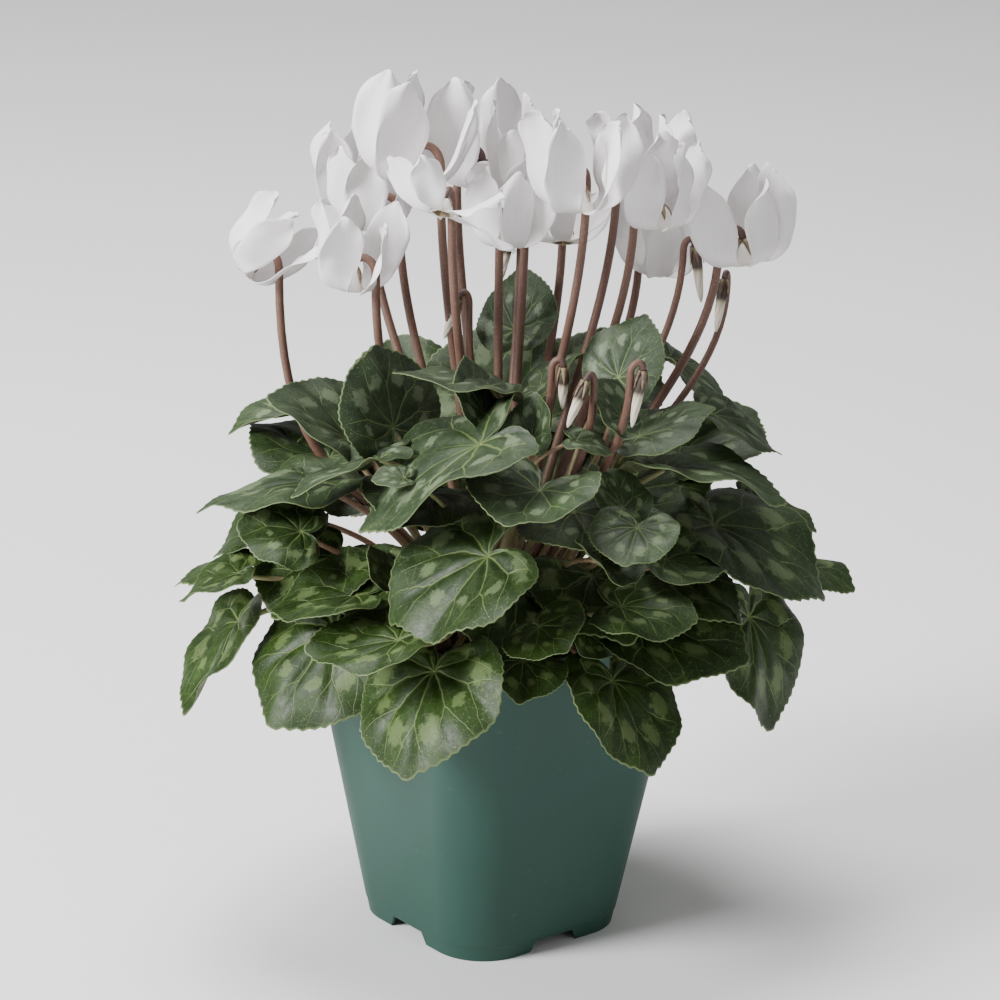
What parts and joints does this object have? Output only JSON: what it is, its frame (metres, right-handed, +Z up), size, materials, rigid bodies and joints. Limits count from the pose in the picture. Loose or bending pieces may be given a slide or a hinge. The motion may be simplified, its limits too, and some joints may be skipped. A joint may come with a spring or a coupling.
{
  "type": "potted cyclamen",
  "caption": "Potted cyclamen in bloom: a square tapered nursery pot of potting mix, marbled heart-shaped leaves on stalks, and white swept-back flowers nodding above them.",
  "frame": {"origin": "on the ground under the middle of the whole plant's bounding box; the pot's own axis stands 7.5 mm from it along -X", "axes": "+Z up along the pot's axis, -Y the front of the plant, +X to the right as seen from the front"},
  "size_m": [0.2633, 0.2319, 0.3396],
  "materials": {
    "pot_green": "matte moulded plastic, lightly grained",
    "potting_mix": "moist crumbly peat and bark mix",
    "tuber_brown": "corky living tuber, matt",
    "leaf_green": "living leaf, softly waxy, marbled with silver green",
    "petal_white": "living petal, matt, thin and slightly translucent",
    "bud_cream": "closed living bud, matt"
  },
  "bodies": {
    "root": {"pot": "pot_green", "soil": "potting_mix", "tuber": "tuber_brown", "leaf_01": "leaf_green", "leaf_02": "leaf_green", "leaf_03": "leaf_green", "leaf_04": "leaf_green", "leaf_05": "leaf_green", "leaf_06": "leaf_green", "leaf_07": "leaf_green", "leaf_08": "leaf_green", "leaf_09": "leaf_green", "leaf_10": "leaf_green", "leaf_11": "leaf_green", "leaf_12": "leaf_green", "leaf_13": "leaf_green", "leaf_14": "leaf_green", "leaf_15": "leaf_green", "leaf_16": "leaf_green", "leaf_17": "leaf_green", "leaf_18": "leaf_green", "leaf_19": "leaf_green", "leaf_20": "leaf_green", "leaf_21": "leaf_green", "leaf_22": "leaf_green", "leaf_23": "leaf_green", "leaf_24": "leaf_green", "leaf_25": "leaf_green", "leaf_26": "leaf_green", "leaf_27": "leaf_green", "leaf_28": "leaf_green", "leaf_29": "leaf_green", "leaf_30": "leaf_green", "leaf_31": "leaf_green", "leaf_32": "leaf_green", "leaf_33": "leaf_green", "leaf_34": "leaf_green", "leaf_35": "leaf_green", "leaf_36": "leaf_green", "leaf_37": "leaf_green", "flower_01": "petal_white", "flower_02": "petal_white", "flower_03": "petal_white", "flower_04": "petal_white", "flower_05": "petal_white", "flower_06": "petal_white", "flower_07": "petal_white", "flower_08": "petal_white", "flower_09": "petal_white", "flower_10": "petal_white", "flower_11": "petal_white", "flower_12": "petal_white", "flower_13": "petal_white", "flower_14": "petal_white", "flower_15": "petal_white", "bud_01": "bud_cream", "bud_02": "bud_cream", "bud_03": "bud_cream", "bud_04": "bud_cream", "bud_05": "bud_cream"}
  },
  "joints": []
}
